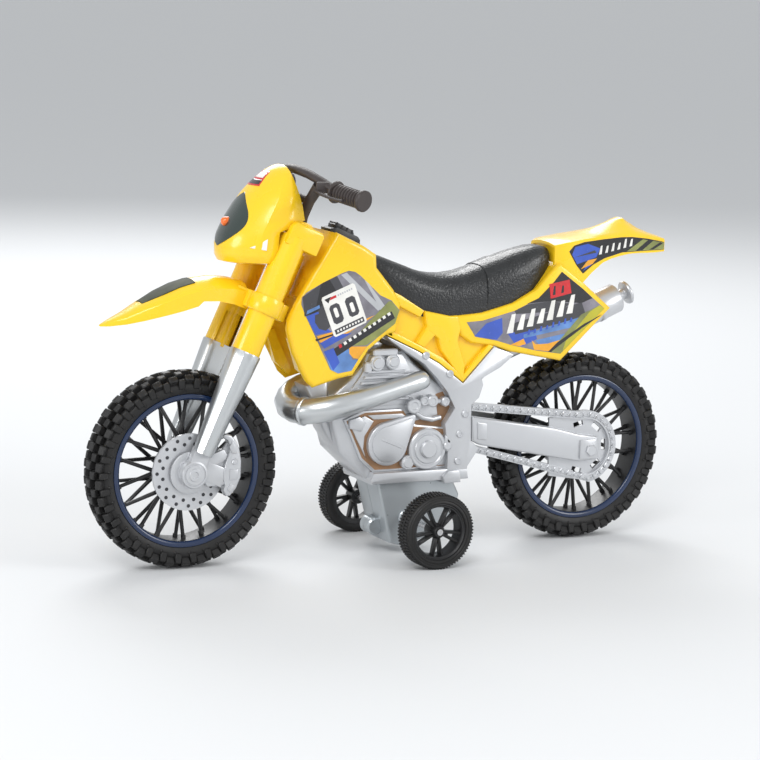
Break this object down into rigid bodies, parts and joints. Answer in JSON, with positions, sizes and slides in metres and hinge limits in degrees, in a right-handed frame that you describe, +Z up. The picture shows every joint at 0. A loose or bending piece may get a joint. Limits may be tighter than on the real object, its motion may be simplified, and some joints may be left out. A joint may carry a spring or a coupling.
{
  "type": "toy motorcycle",
  "caption": "Toy off-road motorcycle with a friction drive under the engine, steering front fork, free-rolling wheels and a push button for sound.",
  "frame": {"origin": "on the ground, half way between the contact points of the two big wheels, in the middle plane", "axes": "+X forward along the wheelbase, +Y to the rider's left, +Z up; the fork points straight ahead"},
  "size_m": [0.2988, 0.0952, 0.1843],
  "materials": {
    "silver_plastic": "silver-grey glossy ABS",
    "bright_silver": "bright vacuum-metallised plastic",
    "steel": "plain steel rod, screw or cell can",
    "yellow_plastic": "warm yellow glossy ABS",
    "black_plastic": "black satin plastic",
    "dark_plastic": "dark grey-brown soft satin plastic",
    "navy_paint": "navy blue gloss coating on the rim edge",
    "black_tyre": "black moulded tyre compound, satin",
    "clear_dark": "smoked transparent lens",
    "orange_led": "orange light body",
    "white_plastic": "white satin plastic",
    "decal_dark": "printed self-adhesive film",
    "decal_light": "printed self-adhesive film",
    "green_board": "circuit board laminate"
  },
  "bodies": {
    "chassis": {"engine_left": "silver_plastic", "engine_right": "silver_plastic", "swingarm_left": "silver_plastic", "swingarm_right": "silver_plastic", "chain_guard": "silver_plastic", "exhaust_header": "bright_silver", "silencer": "silver_plastic", "gearbox_left": "silver_plastic", "gearbox_right": "silver_plastic", "body_left": "yellow_plastic", "body_right": "yellow_plastic", "head_tube": "yellow_plastic", "seat": "black_plastic", "rear_fender": "yellow_plastic", "shroud_decals": "decal_dark", "number_plates": "decal_light", "panel_decals": "decal_dark", "tail_decals": "decal_dark", "rear_axle": "steel", "battery_door": "silver_plastic", "battery_door_screw": "steel", "button_cells": "steel", "circuit_board": "green_board", "speaker": "black_plastic", "body_screws": "steel", "gearbox_screws": "steel", "idler_shaft": "steel", "button_spring": "steel"},
    "sound_button": {"sound_button": "black_plastic"},
    "steering": {"fork_crown": "yellow_plastic", "top_clamp": "yellow_plastic", "fork_tube_left": "yellow_plastic", "fork_tube_right": "yellow_plastic", "fork_leg_left": "bright_silver", "fork_leg_right": "bright_silver", "brake_caliper": "silver_plastic", "front_fender": "yellow_plastic", "fender_decal": "decal_dark", "headlight_mask": "yellow_plastic", "headlight_lens": "clear_dark", "headlight_led": "orange_led", "side_lights": "white_plastic", "handlebar": "dark_plastic", "grips": "dark_plastic", "brake_levers": "dark_plastic", "steering_stem": "steel", "front_axle": "steel"},
    "front_wheel": {"front_tyre": "black_tyre", "front_wheel": "black_plastic", "front_rim_rings": "navy_paint", "brake_disc": "silver_plastic"},
    "rear_wheel": {"rear_tyre": "black_tyre", "rear_wheel": "black_plastic", "rear_rim_rings": "navy_paint"},
    "drive_axle": {"drive_axle": "steel", "drive_gear": "white_plastic", "small_wheels": "black_plastic", "small_tyres": "black_tyre"},
    "idler_gear": {"idler_gear": "white_plastic"},
    "flywheel": {"flywheel": "steel"}
  },
  "joints": [
    {"name": "steering_turn", "type": "hinge", "parent": "chassis", "child": "steering", "pos_m": [0.05572, 0, 0.13353], "axis": [-0.4004, 0, 0.9164], "range_deg": [-15, 15]},
    {"name": "front_wheel_spin", "type": "hinge", "parent": "steering", "child": "front_wheel", "pos_m": [0.104, 0, 0.0455], "axis": [0, 1, 0], "continuous": true},
    {"name": "rear_wheel_spin", "type": "hinge", "parent": "chassis", "child": "rear_wheel", "pos_m": [-0.104, 0, 0.0455], "axis": [0, 1, 0], "continuous": true},
    {"name": "drive_axle_spin", "type": "hinge", "parent": "chassis", "child": "drive_axle", "pos_m": [-0.0063, 0, 0.0177], "axis": [0, 1, 0], "continuous": true},
    {"name": "idler_spin", "type": "hinge", "parent": "chassis", "child": "idler_gear", "pos_m": [-0.01668, 0, 0.0219], "axis": [0, 1, 0], "continuous": true},
    {"name": "flywheel_spin", "type": "hinge", "parent": "chassis", "child": "flywheel", "pos_m": [-0.00757, 0, 0.02954], "axis": [0, 1, 0], "continuous": true},
    {"name": "button_press", "type": "slide", "parent": "chassis", "child": "sound_button", "axis": [0, 0, -1], "range_m": [0, 0.0015], "stiffness_N_per_m": 500, "springref_m": -0.001, "deforming": ["button_spring"]}
  ],
  "couplings": [
    {"joint": "idler_spin", "follows": "drive_axle_spin", "ratio": -2.2},
    {"joint": "flywheel_spin", "follows": "drive_axle_spin", "ratio": 5.28}
  ]
}
